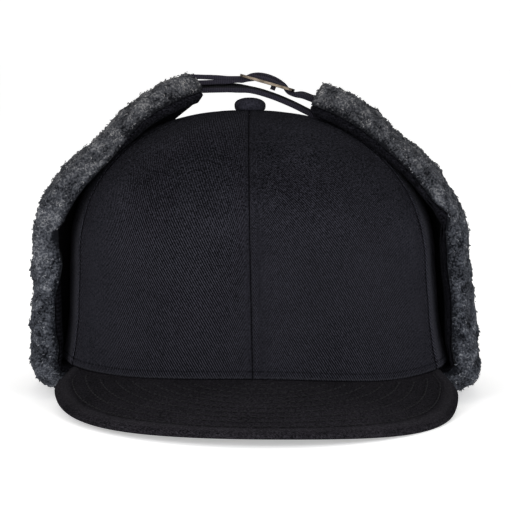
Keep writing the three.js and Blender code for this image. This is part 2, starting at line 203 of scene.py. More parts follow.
def crownSurface(azimuth, reach):
    # straight climb with a slight lean up to the shoulder, then a quarter of a superellipse to the
    # apex, with the shoulder, squareness and lean blended by direction, and a flare at the rim
    azimuth, reach = np.broadcast_arrays(np.asarray(azimuth, float), np.asarray(reach, float))
    front = np.maximum(0, np.cos(azimuth)) ** 2
    back = np.maximum(0, -np.cos(azimuth)) ** 2
    blend = lambda key: front * crown[key][0] + (1 - front - back) * crown[key][1] + back * crown[key][2]
    shoulder, lean, power = blend("shoulder"), blend("lean"), 2.0 / blend("power")
    rimX, rimY = planPoint(azimuth, 1.0)
    onVisor = 1 - smoothStep(np.abs(azimuth), math.radians(visor["levelFrom"]), math.radians(visor["levelTo"]))
    rim = onVisor * (visorTop(rimX, rimY) + seamGap)
    climb = reach / crown["wallShare"]
    angle = np.clip((reach - crown["wallShare"]) / (1 - crown["wallShare"]), 0, 1) * math.pi / 2
    wall = reach < crown["wallShare"]
    dome = shoulder + (crown["height"] - shoulder) * np.sin(angle) ** power
    z = np.where(wall, mix(rim, shoulder, climb), dome)
    share = np.where(wall, mix(1.0, lean, climb), lean * np.maximum(np.cos(angle), 0) ** power)
    turned = smoothStep(np.abs(azimuth), math.radians(crown["flareFrom"]), math.radians(crown["flareTo"]))
    flareLeft = np.maximum(0, 1 - np.maximum(0, z) / crown["flareHeight"]) ** 2
    share = share + crown["flare"] * turned * flareLeft / crown["halfWidth"]
    x, y = planPoint(azimuth, share)
    rise = z / crown["height"]
    return np.stack([x - crown["apexRight"] * rise, y + crown["apexBack"] * rise, z], axis=-1)


def crownNormal(azimuth, reach):
    # the cross product of the steps round the crown and up it
    step = 1e-3
    across = crownSurface(azimuth + step, reach) - crownSurface(azimuth - step, reach)
    up = crownSurface(azimuth, reach + step) - crownSurface(azimuth, np.maximum(reach - step, 0))
    return unit(np.cross(across, up))


def crownPoint(azimuth, reach, offset):
    return crownSurface(azimuth, reach) + crownNormal(azimuth, reach) * np.asarray(offset)[..., None]


def leaned(points):
    c, s = math.cos(restLean), math.sin(restLean)
    x, y, z = points[..., 0], points[..., 1], points[..., 2]
    return np.stack([x, y * c + z * s, z * c - y * s], axis=-1)


slideLow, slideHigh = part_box("strap_slide")
slideMiddle = np.array((slideLow + slideHigh) / 2) * 1000
capShift = slideMiddle - leaned(np.array([slidePlace["x"], slidePlace["y"], slidePlace["z"]]))


def place(points):
    return (leaned(points) + capShift) * 0.001


def keepAbove(points, clear=0.0):
    # nothing goes below the surface that the cap rests on: low points move up to clear above it
    low = np.maximum(clear - (leaned(points) + capShift)[..., 2], 0)
    points[..., 2] += low / math.cos(restLean)
    return points


# Making meshes

def newPiece(name, points, loops, starts, totals, uvs=None, values=None):
    # the arrays go into the mesh as they are; uvs are {name: (n, 2)} and values {name: (n,)}
    mesh = bpy.data.meshes.new(name)
    mesh.vertices.add(len(points))
    mesh.vertices.foreach_set("co", np.ascontiguousarray(points, np.float32).ravel())
    mesh.loops.add(len(loops))
    mesh.loops.foreach_set("vertex_index", loops.astype(np.int32))
    mesh.polygons.add(len(starts))
    mesh.polygons.foreach_set("loop_start", starts.astype(np.int32))
    mesh.polygons.foreach_set("loop_total", totals.astype(np.int32))
    mesh.polygons.foreach_set("use_smooth", np.ones(len(starts), bool))
    for key, uv in (uvs or {}).items():
        layer = mesh.uv_layers.new(name=key)
        layer.data.foreach_set("uv", uv[loops].astype(np.float32).ravel())
    for key, value in (values or {}).items():
        mesh.attributes.new(key, "FLOAT", "POINT").data.foreach_set("value", value.astype(np.float32))
    mesh.update(calc_edges=True)
    mesh.validate()
    piece = bpy.data.objects.new(name, mesh)
    bpy.context.scene.collection.objects.link(piece)
    return piece


def polygons(groups):
    # joins arrays of faces with different numbers of corners into one list of loops
    loops = np.concatenate([g.ravel() for g in groups])
    totals = np.concatenate([np.full(len(g), g.shape[1]) for g in groups])
    return loops, np.concatenate([[0], np.cumsum(totals)[:-1]]), totals


def gridQuads(index):
    a, b, c, d = index[:-1, :-1], index[1:, :-1], index[1:, 1:], index[:-1, 1:]
    return np.stack([a, b, c, d], axis=-1).reshape(-1, 4)


def sheetPiece(name, outer, inner, strides=(1, 1), uvs=None, values=None):
    # a closed sheet: the outer grid as it is, an inner grid of every few rows and columns that
    # shares the outer one's border, and one many-cornered face for each step of that border
    nu, nv = outer.shape[:2]
    du, dv = strides
    top = np.arange(nu * nv).reshape(nu, nv)
    bottom = top[::du, ::dv].copy()
    inside = np.zeros(bottom.shape, bool)
    inside[1:-1, 1:-1] = True
    bottom[inside] = nu * nv + np.arange(inside.sum())
    kept = (slice(None, None, du), slice(None, None, dv))
    flat = lambda grid: np.concatenate([grid.reshape(-1, *grid.shape[2:]), grid[kept][inside]])
    points = np.concatenate([outer.reshape(-1, 3), inner[kept][inside]])
    groups = [gridQuads(top), gridQuads(bottom)[:, ::-1]]
    runs = lambda line, d: np.stack([line[k:len(line) - d + k:d] for k in range(d + 1)], axis=-1)
    if du > 1:
        groups += [runs(top[:, 0], du)[:, ::-1], runs(top[:, -1], du)]
    if dv > 1:
        groups += [runs(top[0, :], dv), runs(top[-1, :], dv)[:, ::-1]]
    uvs = {key: flat(grid) for key, grid in (uvs or {}).items()}
    values = {key: flat(grid) for key, grid in (values or {}).items()}
    return newPiece(name, place(points), *polygons(groups), uvs, values)


def gridNormals(grid):
    return unit(np.cross(np.gradient(grid, axis=0), np.gradient(grid, axis=1)))


def arcLength(grid, axis):
    # distance along the grid's lines, summed from its first row or column
    steps = np.linalg.norm(np.diff(grid, axis=axis), axis=-1)
    pad = [(1, 0) if k == axis else (0, 0) for k in range(2)]
    return np.cumsum(np.pad(steps, pad), axis=axis)


def roundedSamples(length, before, after, step):
    # places from 0 to length, close together in the quarter turn at either end: 1 - cos of an even
    # angle there, and even steps between; and the sine of the same angles, which is the thickness
    def quarter(size):
        steps = max(int(round(size * math.pi / 2 / step)), 3)
        return np.linspace(0, math.pi / 2, steps + 1)[:-1] if size else np.zeros(0)

    first, last = quarter(before), quarter(after)[::-1]
    count = max(int(round((length - before - after) / step)), 2)
    middle = np.linspace(before, length - after, count + 1)
    places = [before * (1 - np.cos(first)), middle, length - after * (1 - np.cos(last))]
    return np.concatenate(places), np.concatenate([np.sin(first), np.ones(count + 1), np.sin(last)])


def padTo(samples, stride):
    # spreads the samples out a little, so that their count fits the inner grid's stride
    places, thickness = samples
    extra = -(len(places) - 1) % stride
    old, new = (np.linspace(0, 1, len(places) + more) for more in (0, extra))
    return np.interp(new, old, places), np.interp(new, old, thickness)


def finishPiece(piece, slot, *nodes):
    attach(piece, "root")
    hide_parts(*nodes)


# Camera, at the photo's angle

camera = {
    "azimuth": -0.6,
    "elevation": 5.7,
    "roll": 0.55,
    "aim": (-0.4, 0.0, 68.0),
    "distance": 1250.0,
    "focal": 2615.0,     # in pixels of a picture 512 wide
    "sensor": 36.0,
}


def addCamera():
    # it looks along forward at the aim, and its right and up turn about that by the roll
    az, el, roll = (math.radians(camera[k]) for k in ("azimuth", "elevation", "roll"))
    forward = Vector((-math.sin(az) * math.cos(el), math.cos(az) * math.cos(el), -math.sin(el)))
    right = Vector((math.cos(az), math.sin(az), 0))
    up = right.cross(forward)
    rolledRight = math.cos(roll) * right + math.sin(roll) * up
    rolledUp = math.cos(roll) * up - math.sin(roll) * right
    data = bpy.data.cameras.new("camera")
    data.sensor_width = camera["sensor"]
    data.lens = camera["sensor"] * camera["focal"] / 512.0
    data.clip_end = 50.0
    lens = bpy.data.objects.new("camera", data)
    turn = Matrix((rolledRight, rolledUp, -forward)).transposed()
    spot = (Vector(camera["aim"]) - forward * camera["distance"]) * 0.001
    lens.matrix_world = Matrix.Translation(spot) @ turn.to_4x4()
    bpy.context.scene.collection.objects.link(lens)
    bpy.context.scene.camera = lens


addCamera()
print("camera placed")


# Shader graphs

class Signal:
    # one socket of a graph; arithmetic on it adds Math nodes

    def __init__(self, finish, socket):
        self.finish, self.socket = finish, socket

    def maths(self, operation, *values):
        return self.finish.add("ShaderNodeMath", {"operation": operation}, dict(enumerate(values)))

    def __add__(self, other): return self.maths("ADD", self, other)
    def __radd__(self, other): return self.maths("ADD", other, self)
    def __sub__(self, other): return self.maths("SUBTRACT", self, other)
    def __rsub__(self, other): return self.maths("SUBTRACT", other, self)
    def __mul__(self, other): return self.maths("MULTIPLY", self, other)
    def __rmul__(self, other): return self.maths("MULTIPLY", other, self)
    def __truediv__(self, other): return self.maths("DIVIDE", self, other)
    def __rtruediv__(self, other): return self.maths("DIVIDE", other, self)
    def wave(self): return self.maths("COSINE", self * (2 * math.pi)) * 0.5 + 0.5
    def fraction(self): return self.maths("FRACT", self)
    def size(self): return self.maths("ABSOLUTE", self)
    def floor(self): return self.maths("FLOOR", self)
    def highest(self, other): return self.maths("MAXIMUM", self, other)
    def lowest(self, other): return self.maths("MINIMUM", self, other)

    def step(self, low, high):
        # 0 below low and 1 above high, with a smooth rise between; low may be above high
        return self.finish.add("ShaderNodeMapRange", {"interpolation_type": "SMOOTHSTEP", "clamp": True},
                               {"Value": self, "From Min": low, "From Max": high})


class Finish:
    # a material's graph: add() makes any node and returns its first output

    def __init__(self, name):
        self.material = bpy.data.materials.new(name)
        self.material.use_nodes = True
        self.tree = self.material.node_tree
        self.tree.nodes.clear()

    def add(self, kind, settings=None, sockets=None, output=0):
        node = self.tree.nodes.new(kind)
        for key, value in (settings or {}).items():
            if key == "stops":
                ramp = node.color_ramp
                while len(ramp.elements) < len(value):
                    ramp.elements.new(0.5)
                for element, (spot, colour) in zip(ramp.elements, value):
                    element.position, element.color = spot, (*colour, 1.0)
            else:
                setattr(node, key, value)
        for key, value in (sockets or {}).items():
            if isinstance(value, Signal):
                self.tree.links.new(value.socket, node.inputs[key])
            else:
                node.inputs[key].default_value = value
        return Signal(self, node.outputs[output]) if node.outputs else node

    def uv(self, name):
        return self.add("ShaderNodeUVMap", {"uv_map": name})

    def parts(self, vector):
        split = self.add("ShaderNodeSeparateXYZ", {}, {0: vector})
        return [Signal(self, split.socket.node.outputs[n]) for n in range(3)]

    def joined(self, x, y, z=0.0):
        return self.add("ShaderNodeCombineXYZ", {}, {0: x, 1: y, 2: z})

    def place(self):
        return self.add("ShaderNodeTexCoord", output=3)

    def value(self, name):
        return self.add("ShaderNodeAttribute", {"attribute_name": name}, output=2)

    def noise(self, vector, scale, detail=2.0, roughness=0.5):
        return self.add("ShaderNodeTexNoise", {}, {"Vector": vector, "Scale": scale, "Detail": detail,
                                                  "Roughness": roughness})

    def colours(self, factor, a, b, mode="MIX"):
        a, b = [(*c, 1.0) if isinstance(c, tuple) else c for c in (a, b)]
        settings = {"data_type": "RGBA", "blend_type": mode}
        return self.add("ShaderNodeMix", settings, {0: factor, 6: a, 7: b}, output=2)

    def bump(self, height, distance, strength):
        return self.add("ShaderNodeBump", {}, {"Height": height, "Distance": distance, "Strength": strength})

    def surface(self, sockets):
        shader = self.add("ShaderNodeBsdfPrincipled", {}, sockets)
        self.add("ShaderNodeOutputMaterial", {}, {"Surface": shader})
        return self.material

    def cloth(self, colour, roughness, fuzz, fuzzRoughness, tint=(1.0, 1.0, 1.0), **more):
        # dull cloth: no gloss of its own, only the glow of its fibres
        return self.surface({"Base Color": colour, "Roughness": roughness, "Specular IOR Level": 0.0,
                             "Sheen Weight": fuzz, "Sheen Roughness": fuzzRoughness,
                             "Sheen Tint": (*tint, 1.0), **more})


twill = {
    "wale": 1.08,        # distance between the diagonal ribs
    "angle": 57.0,       # of the ribs from the horizontal, falling to the right
    "dark": (0.0022, 0.0022, 0.0028),
    "light": (0.0330, 0.0325, 0.0420),
    "fuzz": (0.60, 0.62, 0.70),
    "pressed": (0.088, 0.088, 0.104),   # painted light: the side panels lighter away from their seams, where the flaps shade them
    "folded": (0.046, 0.046, 0.054),    # the fold at the foot, where it catches the light
    "rolled": (0.075, 0.072, 0.080),    # painted highlight on the visor's rolled front edge
    "shade": (0.0012, 0.0012, 0.0015),  # needle holes, sewn lines and the seams themselves
    "stitchStep": 2.5,
    "level": 0.29,       # the tone that the weave varies about
}


def twillFinish(name, tint=(1.0, 1.0, 1.0), ribs=1.0, edges=None, depth=1.0):
    # tone: a cosine across the diagonal ribs, flecks drawn out along them, and a finer grain, with painted
    # shade towards the top of the cap, where the ribs fade and the tone darkens. On the panels the seams
    # are dark along the very edge, with a row of needle holes beside it, and the foot is a folded edge
    # that catches the light, with a sewn line above it; the side panels have painted light away from
    # their seams. The visor has painted shade towards the crown and a painted highlight on its rolled
    # front edge, and the flaps' cloth has painted shade low down, by the crown.
    g = Finish(name)
    u, v, _ = g.parts(g.uv("weave"))
    place = g.place()
    drift = g.noise(place, 22.0, 1.0) - 0.5
    patch = g.noise(place, 45.0, 3.0) - 0.5
    s, c = math.sin(math.radians(twill["angle"])), math.cos(math.radians(twill["angle"]))
    across = u * (s / twill["wale"]) + v * (c / twill["wale"]) + drift * 0.9
    along = v * s - u * c
    rib = across.wave() - 0.5
    fleck = g.noise(g.joined(across * 0.8, along * 0.42, patch), 1.9, 3.0, 0.6) - 0.5
    grain = g.noise(place, 1250.0, 3.0, 0.65) - 0.5
    high = g.parts(place)[2]
    # painted shade at the top of the cap: the ribs fade there, and two lines down the tone is darkened there
    # too
    worn = 1.0 - high.step(0.06, 0.12) * 0.7
    height = rib * worn * (1.4 * ribs) + fleck * 1.6 + grain * 2.2 + twill["level"]
    tone = (height + patch * 0.4 - high.step(0.08, 0.125) * 0.1 - twill["level"]) * depth + twill["level"]
    dark, light = (tuple(a * b for a, b in zip(tint, twill[k])) for k in ("dark", "light"))
    colour = g.colours(tone.highest(0.0).lowest(1.0), dark, light)
    if edges in ("panel", "side", "visor"):
        edge, run, _ = g.parts(g.uv("edge"))
    if edges == "side":
        # painted light: away from their seams the side panels turn lighter
        colour = g.colours(edge.step(1.5, 7.0) * 0.2, colour, twill["pressed"])
    if edges in ("panel", "side"):
        rise = g.value("rise")
        hole = ((run / twill["stitchStep"]).fraction() - 0.5).size().step(0.34, 0.12)
        pit = hole * (edge - 0.8).size().step(0.6, 0.15)
        line = edge.step(1.2, 0.4)
        lit = (rise - 1.0).size().step(0.75, 0.25)
        sewn = (rise - 3.7).size().step(0.6, 0.2) * (0.45 + 0.55 * hole)
        height = height - pit * 0.8
        colour = g.colours(lit * 0.2, colour, twill["folded"])
        colour = g.colours((pit * 0.6).highest(line * 0.9).highest(sewn * 0.6), colour, twill["shade"])
    if edges == "visor":
        height = height * (edge.step(0.5, 4.0) * 0.7 + 0.3)
        # painted shade: the visor darker towards the crown's foot
        colour = g.colours(v.step(-150.0, -100.0) * 0.4, colour, (0.0022, 0.0020, 0.0020))
        # painted highlight: the rolled front edge lighter
        colour = g.colours((edge - 4.4).size().step(3.5, 0.8) * 0.08, colour, twill["rolled"])
    if edges == "shell":
        # painted shade: the flaps' cloth darker low down, in the crevice by the crown
        colour = g.colours(high.step(0.105, 0.075) * 0.65, colour, twill["shade"])
    return g.cloth(colour, 0.95, 0.012, 0.55, twill["fuzz"], Normal=g.bump(height, 0.00022, 0.8))


pile = {
    "stops": [(0.08, (0.0045, 0.0050, 0.0065)), (0.45, (0.052, 0.056, 0.067)), (1.0, (0.285, 0.292, 0.312))],
    "fuzz": (0.8, 0.83, 0.88),
    # painted light: warm light from above on the upper part of the flaps
    "warmTopLight": (1.0, 0.95, 0.88),
}


def pileFinish(name):
    # colour by the shade that the piece carries as an attribute, broken up by two sizes of noise;
    # the wool has painted warm light from above towards the tips of the flaps
    g = Finish(name)
    place = g.place()
    fine = g.noise(place, 1000.0, 2.0, 0.6).step(0.34, 0.66) - 0.5
    blotch = g.noise(place, 90.0, 3.0, 0.55) - 0.5
    tone = g.value("shade") + fine * 0.34 + blotch * 0.42
    colour = g.add("ShaderNodeValToRGB", {"stops": pile["stops"]}, {"Fac": tone})
    colour = g.colours(g.parts(place)[2].step(0.05, 0.15), colour, pile["warmTopLight"], "MULTIPLY")
    normal = g.bump(g.noise(place, 1500.0, 3.0, 0.65), 0.0004, 0.8)
    return g.cloth(colour, 1.0, 0.03, 0.6, pile["fuzz"], Normal=normal)


webbing = {"rib": 1.5, "pick": 0.9, "dark": (0.0060, 0.0055, 0.0080), "light": (0.030, 0.028, 0.038)}


def webbingFinish(name):
    # herringbone of floats: across the strap they slant one way, then the other, in narrow bands
    g = Finish(name)
    u, v, _ = g.parts(g.uv("weave"))
    across = u / webbing["rib"]
    slant = ((across.floor() * 0.5).fraction() - 0.25) * 4.0
    weave = (v / webbing["pick"] + across * slant * 0.5).wave()
    fuzz = g.noise(g.place(), 1800.0, 3.0, 0.6)
    height = weave * 0.5 + (1 - across.wave()) * 0.4 + fuzz * 0.3
    colour = g.colours(height.step(0.25, 1.0), webbing["dark"], webbing["light"])
    return g.cloth(colour, 0.9, 0.02, 0.5, Normal=g.bump(height, 0.00025, 0.8))


metal = {"dark": (0.036, 0.029, 0.022), "light": (0.110, 0.090, 0.070), "scratch": 2600.0, "patch": 260.0}


def bronzeFinish(name):
    # antiqued metal: worn lighter patches, fine brushed scratches along X
    g = Finish(name)
    place = g.place()
    x, y, z = g.parts(place)
    brushed = g.noise(g.joined(x * 0.04, y, z), metal["scratch"], 2.0)
    worn = g.noise(place, metal["patch"], 4.0, 0.6)
    colour = g.colours(worn.step(0.3, 0.7), metal["dark"], metal["light"])
    rough = worn * 0.18 + brushed * 0.14 + 0.18
    return g.surface({"Base Color": colour, "Metallic": 1.0, "Roughness": rough,
                      "Normal": g.bump(brushed, 0.00006, 0.4)})


yarn = {"dark": (0.0060, 0.0058, 0.0066), "light": (0.0205, 0.0200, 0.0220)}


def threadFinish(name):
    # mottled by a fine noise
    g = Finish(name)
    return g.cloth(g.colours(g.noise(g.place(), 3000.0), yarn["dark"], yarn["light"]), 0.85, 0.03, 0.5)


crownTwill = twillFinish("crown_twill", edges="panel")
# painted light: the side panels are a lighter copy of the crown's twill, against the shade between the crown
# and the flaps
litSideTwill = twillFinish("side_twill_lit", (1.9, 1.9, 1.9), edges="side")
visorTwill = twillFinish("visor_twill", (1.08, 1.0, 0.94), 0.15, "visor")
shellTwill = twillFinish("shell_twill", (0.65, 0.65, 0.65), 0.4, "shell")
buttonTwill = twillFinish("button_twill", (2.1, 2.1, 2.2), 0.2, depth=0.4)
curlyPile = pileFinish("curly_pile")
strapWeave = webbingFinish("strap_weave")
bronze = bronzeFinish("bronze")
thread = threadFinish("thread")
print("finishes made")


# Crown panels

panels = {
    "spans": {
        "front_left": (-1.0, 65.0), "side_left": (65.0, 122.0), "back_left": (122.0, 180.0),
        "front_right": (-67.0, -1.0), "side_right": (-122.0, -67.0), "back_right": (-180.0, -122.0),
    },
    "grid": 1.5,         # spacing of the mesh
    "tall": 165.0,       # about the length from the rim to the apex
    "edgeRound": 1.0,
    # bells, as place, width and height
    "seamRidge": (2.2, 1.5, 0.34),    # the folded seam allowance lifts the cloth beside each seam
    "topstitch": (4.4, 0.9, -0.22),   # the sewn line beyond it
    "footRidge": (2.4, 1.3, 0.32),    # the folded edge at the foot
    "footLine": (4.8, 1.0, -0.18),    # the line that is sewn above it
    "pucker": (0.0, 7.0, 0.16),       # gathers along each seam
    "puckerSize": 5.5,
    "uneven": ((24.0, 0.42), (9.0, 0.126)),
    "tape": 5.0,                      # half the width of the tape inside each seam
    "tapeUnder": 0.12,
    "tapeThick": 0.5,
}


def speedRound(azimuth, reach):
    # millimetres for each radian round the crown
    step = 1e-3
    return np.linalg.norm(crownSurface(azimuth + step, reach) - crownSurface(azimuth, reach), axis=-1) / step


def halfRound(edge, size):
    # the height of a quarter circle, 0 at the edge and 1 from size inwards
    return np.sqrt(np.clip(1 - (1 - np.clip(edge / size, 0, 1)) ** 2, 0, 1))


def addPanel(key, span):
    # the crown's surface between two seams, with a wall inside it: the outer face is lifted by
    # bell-shaped ridges along the seams and the foot, and by noise, and both faces meet in round edges
    low, high = (math.radians(a) for a in span)
    middle = (low + high) / 2
    wide = np.linalg.norm(crownSurface(low, 0.15) - crownSurface(high, 0.15)) * 1.06
    ridge, tall = panels["edgeRound"], panels["tall"]
    across, _ = padTo(roundedSamples(wide, ridge, ridge, panels["grid"]), 3)
    up, footThick = padTo(roundedSamples(tall, ridge, 0, panels["grid"]), 3)
    share, reach = np.meshgrid(across / wide, crown["topReach"] * up / tall, indexing="ij")
    azimuth = mix(low, high, share)
    speed = speedRound(azimuth, reach)
    inset = (seamGap / 2) / np.maximum(speed, 1.0)
    azimuth = np.clip(azimuth, low + inset, high - inset)
    # near the apex the rounded edge keeps its size in millimetres
    edge = np.minimum(azimuth - low, high - azimuth) * speed
    thick = np.where((share == 0) | (share == 1), 0.0, halfRound(edge, ridge)) * footThick[None, :]
    base = crownSurface(azimuth, reach)
    rise = arcLength(base, 1)
    sewn = bell(edge, *panels["seamRidge"]) + bell(edge, *panels["topstitch"])
    foot = bell(rise, *panels["footRidge"]) + bell(rise, *panels["footLine"])
    alongSeam = np.stack([rise, edge * 0.25, share * 0 + len(key)], -1)
    puckers = softNoise(alongSeam, panels["puckerSize"], 5) * bell(edge, *panels["pucker"])
    relief = (sewn + foot + puckers) * smoothStep(edge, 0.0, 1.2)
    relief = relief + layeredNoise(base, panels["uneven"], 3) * smoothStep(edge, 0.0, 12.0) - 0.15
    half = crown["wall"] / 2
    outer = crownPoint(azimuth, reach, -half + half * thick + relief * thick)
    inner = crownPoint(azimuth, reach, -half - half * thick)
    onVisor = (np.abs(azimuth) < math.radians(visor["seamSpan"])) & (reach < 0.1)
    for grid in (outer, inner):
        floor = visorTop(grid[..., 0], grid[..., 1]) + seamGap
        grid[..., 2] = np.where(onVisor, np.maximum(grid[..., 2], floor), grid[..., 2])
    weave = np.stack([(azimuth - middle) * speed, rise], -1)
    # the front seam is pressed open, so its line is finer than the others
    seam = np.minimum(edge + 0.9 * smoothStep(np.abs(azimuth), 0.6, 0.3), rise + 0.35)
    run = np.where(edge < rise + 0.35, rise, (azimuth - middle) * 90.0)
    uvs = {"weave": weave, "edge": np.stack([seam, run], -1)}
    piece = sheetPiece("crown_" + key, outer, inner, (3, 3), uvs, {"rise": rise})
    piece.data.materials.append(litSideTwill if key.startswith("side") else crownTwill)
    finishPiece(piece, "cloth", "panel_" + key)


def addSeamTape(name, azimuth):
    # inside each seam, a flat tape just under the panels, from the rim to the apex, narrower there
    reach = np.linspace(0.004, crown["topReach"], 85)
    across, up = np.meshgrid(np.linspace(-1, 1, 7), reach, indexing="ij")
    middle = np.full_like(up, math.radians(azimuth))
    turned = np.minimum(panels["tape"] / np.maximum(speedRound(middle, up), 1.0), math.radians(27))
    turn = middle + across * turned
    free = (np.abs(across) < 1) & (up > reach[0]) & (up < reach[-1])
    under = -crown["wall"] - panels["tapeUnder"]
    face = crownPoint(turn, up, under - 0.1 * ~free)
    back = crownPoint(turn, up, under - panels["tapeThick"] + 0 * up)
    weave = np.stack([across * panels["tape"], arcLength(face, 1)], -1)
    piece = sheetPiece("seam_tape_" + name, face, back, (1, 1), {"weave": weave})
    piece.data.materials.append(strapWeave)
    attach(piece, "root")


for key, span in panels["spans"].items():
    addPanel(key, span)
    addSeamTape(key, span[0] if span[0] > -180 else 180.0)
print("crown panels made")


# Visor

visorLook = {
    "grid": 1.35,
    "deep": 72.0,        # about the length from the crown to the front edge
    "round": 250.0,      # and from one corner to the other along that edge
    "edgeRound": 1.6,
    # place, width and height of the rolled edge, and of the groove of the first row behind it
    "edgeRidge": (4.2, 2.4, 0.8),
    "edgeGroove": (8.4, 0.8, -0.3),
    "uneven": ((21.0, 0.35), (7.0, 0.12)),
    "rows": 10,
    "rowStep": 6.1,
    "stitchLength": 3.2,
    "stitchGap": 0.9,
    "stitchWide": 0.36,
}


def visorPlan(along, out):
    # from the crown's rim, tucked under it, to an ellipse; the rear corners are cut back
    inner = crownPoint(np.radians(visor["seamSpan"]) * along, np.zeros_like(along), -visor["tuck"] + 0 * along)
    angle = np.radians(visor["edgeSpan"]) * along
    x, y = visor["halfWidth"] * np.sin(angle), visor["centreY"] - visor["reach"] * np.cos(angle)
    outer = np.stack([x, y], -1)
    corner = smoothStep(np.abs(along), visor["cornerFrom"], visor["cornerTo"])
    part = out * mix(1.0, visor["cornerLength"], corner)
    return inner[..., :2] + (outer - inner[..., :2]) * part[..., None]


def visorEdge(along, out):
    # distance in from the outer edge: the least of those to the 240 short straight pieces of it
    line = np.linspace(-1, 1, 241)
    rim = visorPlan(line, np.ones_like(line))
    spot = visorPlan(along, out)
    near = np.full(along.shape, 1e9)
    for a, b in zip(rim[:-1], rim[1:]):
        t = np.clip((spot - a) @ (b - a) / np.sum((b - a) ** 2), 0, 1)
        near = np.minimum(near, np.sum((spot - a - t[..., None] * (b - a)) ** 2, axis=-1))
    return np.sqrt(near)


def visorPoint(along, out, side):
    # side 1 is the top face and -1 the underside, which meet in a half round at the outer edge
    plan = visorPlan(along, out)
    x, y = plan[..., 0], plan[..., 1]
    half = visor["thickness"] / 2
    edge = visorEdge(along, out)
    thick = np.where(out >= 1, 0.0, halfRound(edge, visorLook["edgeRound"]))
    relief = bell(edge, *visorLook["edgeRidge"]) + bell(edge, *visorLook["edgeGroove"])
    relief = relief + layeredNoise(np.stack([x, y, 0 * x], -1), visorLook["uneven"], 8)
    # the top lies close under the crown's foot
    relief = mix(0.12, relief * smoothStep(edge, 0.2, 2.0) - 0.1, smoothStep(out, 0.05, 0.15))
    if side < 0:
        relief = relief * 0.4
    z = visorTop(x, y) - half + side * half * thick + relief * thick
    return np.stack([x, y, z], -1), edge


def addVisor():
    deep = visorLook["deep"]
    out, _ = padTo(roundedSamples(deep, 0, visorLook["edgeRound"], visorLook["grid"]), 2)
    along = np.linspace(-1, 1, 2 * int(round(visorLook["round"] / visorLook["grid"] / 2)) + 1)
    a, o = np.meshgrid(along, out / deep, indexing="ij")
    outer, edge = visorPoint(a, o, 1)
    inner, _ = visorPoint(a, o, -1)
    run = arcLength(visorPlan(a, np.ones_like(a)), 0)
    weave = outer[..., :2] + [0, 1] * outer[..., 2:]
    # the plan runs from the wearer's right to the left, so the top face is turned to look up
    uvs = {"weave": weave[:, ::-1], "edge": np.stack([edge, run], -1)[:, ::-1]}
    piece = sheetPiece("visor_cloth", outer[:, ::-1], inner[:, ::-1], (2, 2), uvs)
    piece.data.materials.append(visorTwill)
    finishPiece(piece, "cloth", "visor")


addVisor()
print("visor made")


# Threads: short bars that arch out of the cloth and sink back in at both ends

def ringRound(first, second, sides):
    # unit circles of a few corners: first by cosine and second by sine
    turn = (np.arange(sides) / sides * 2 * math.pi)[:, None]
    return first[..., None, :] * np.cos(turn) + second[..., None, :] * np.sin(turn)


def threadBars(name, starts, ends, normals, radius, material, sides=4, rows=4, sink=0.3):
    # a tube along a parabola from start to end, thin at its ends: radius times the root of a sine
    t = np.linspace(0, 1, rows + 1)
    hump = 4 * t * (1 - t) * radius * 0.9 - sink * (2 * t - 1) ** 4
    line = starts[:, None] + (ends - starts)[:, None] * t[:, None] + normals[:, None] * hump[:, None]
    along = unit(ends - starts)
    side = unit(np.cross(normals, along))
    ring = ringRound(side[:, None], np.cross(along, side)[:, None], sides)
    thin = radius * np.sqrt(np.sin(math.pi * np.clip(t, 0.04, 0.96)))
    tubesPiece(name, line[:, :, None] + ring * thin[:, None, None], material)


def tubesPiece(name, rings, material, values=None):
    # rings is (tube, row, side, xyz): quads between rows, and one face closing each end
    n, rows, sides = rings.shape[:3]
    index = np.arange(n * rows * sides).reshape(n, rows, sides)
    a, b = index[:, :-1], index[:, 1:]
    quads = np.stack([a, np.roll(a, -1, 2), np.roll(b, -1, 2), b], -1).reshape(-1, 4)
    groups = [quads, index[:, 0, ::-1], index[:, -1, :]]
    values = {key: v.reshape(-1) for key, v in (values or {}).items()}
    piece = newPiece(name, place(rings.reshape(-1, 3)), *polygons(groups), None, values)
    piece.data.materials.append(material)
    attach(piece, "root")


def addVisorStitches():
    # rows that follow the outer edge, each stitch a little off its line
    random = np.random.default_rng(12)
    fine = np.linspace(-0.995, 0.995, 2400)
    rim = visorPlan(fine, np.ones_like(fine))
    tangent = unit(np.gradient(rim, axis=0))
    inwards = np.stack([-tangent[:, 1], tangent[:, 0]], -1)
    ends = []
    for n in range(visorLook["rows"]):
        x, y = (rim + inwards * (visorLook["edgeGroove"][0] + n * visorLook["rowStep"])).T
        clear = np.hypot(x / (crown["halfWidth"] + 5.0), y / (crown["frontLength"] + 5.0)) > 1.0
        clear &= (y < -30) & (visorTop(x, y) > -60)
        length = arcLength(np.stack([x, y], -1)[None], 1)[0]
        spots = np.arange(3.0, length[-1] - 3.0, visorLook["stitchLength"] + visorLook["stitchGap"])
        spots = spots + random.normal(0, 0.25, len(spots))
        spots = spots[np.interp(spots, length, clear.astype(float)) > 0.9]
        both = spots + np.array([[0.0], [visorLook["stitchLength"]]])
        x, y = np.interp(both, length, x), np.interp(both, length, y)
        ends.append(np.stack([x, y, visorTop(x, y)], -1))
    starts, stops = np.concatenate(ends, axis=1)
    up = np.tile(np.array([0.0, -0.2, 0.98]), (len(starts), 1))
    threadBars("visor_stitches", starts, stops, up, visorLook["stitchWide"], thread)


addVisorStitches()
print("visor stitching made")


# Top button

button = {
    "radii": (2.6, 2.75, 3.4, 6.4, 7.2, 7.5, 7.6, 7.55, 7.1, 6.2, 4.9, 3.3, 1.7, 0.0),
    "heights": (-2.4, -1.2, -0.3, -0.35, 0.1, 0.9, 1.9, 2.8, 3.7, 4.5, 5.15, 5.6, 5.84, 5.9),
    "folds": 9,
    "foldDeep": 0.16,
    "rows": 55,
    "around": 72,
}


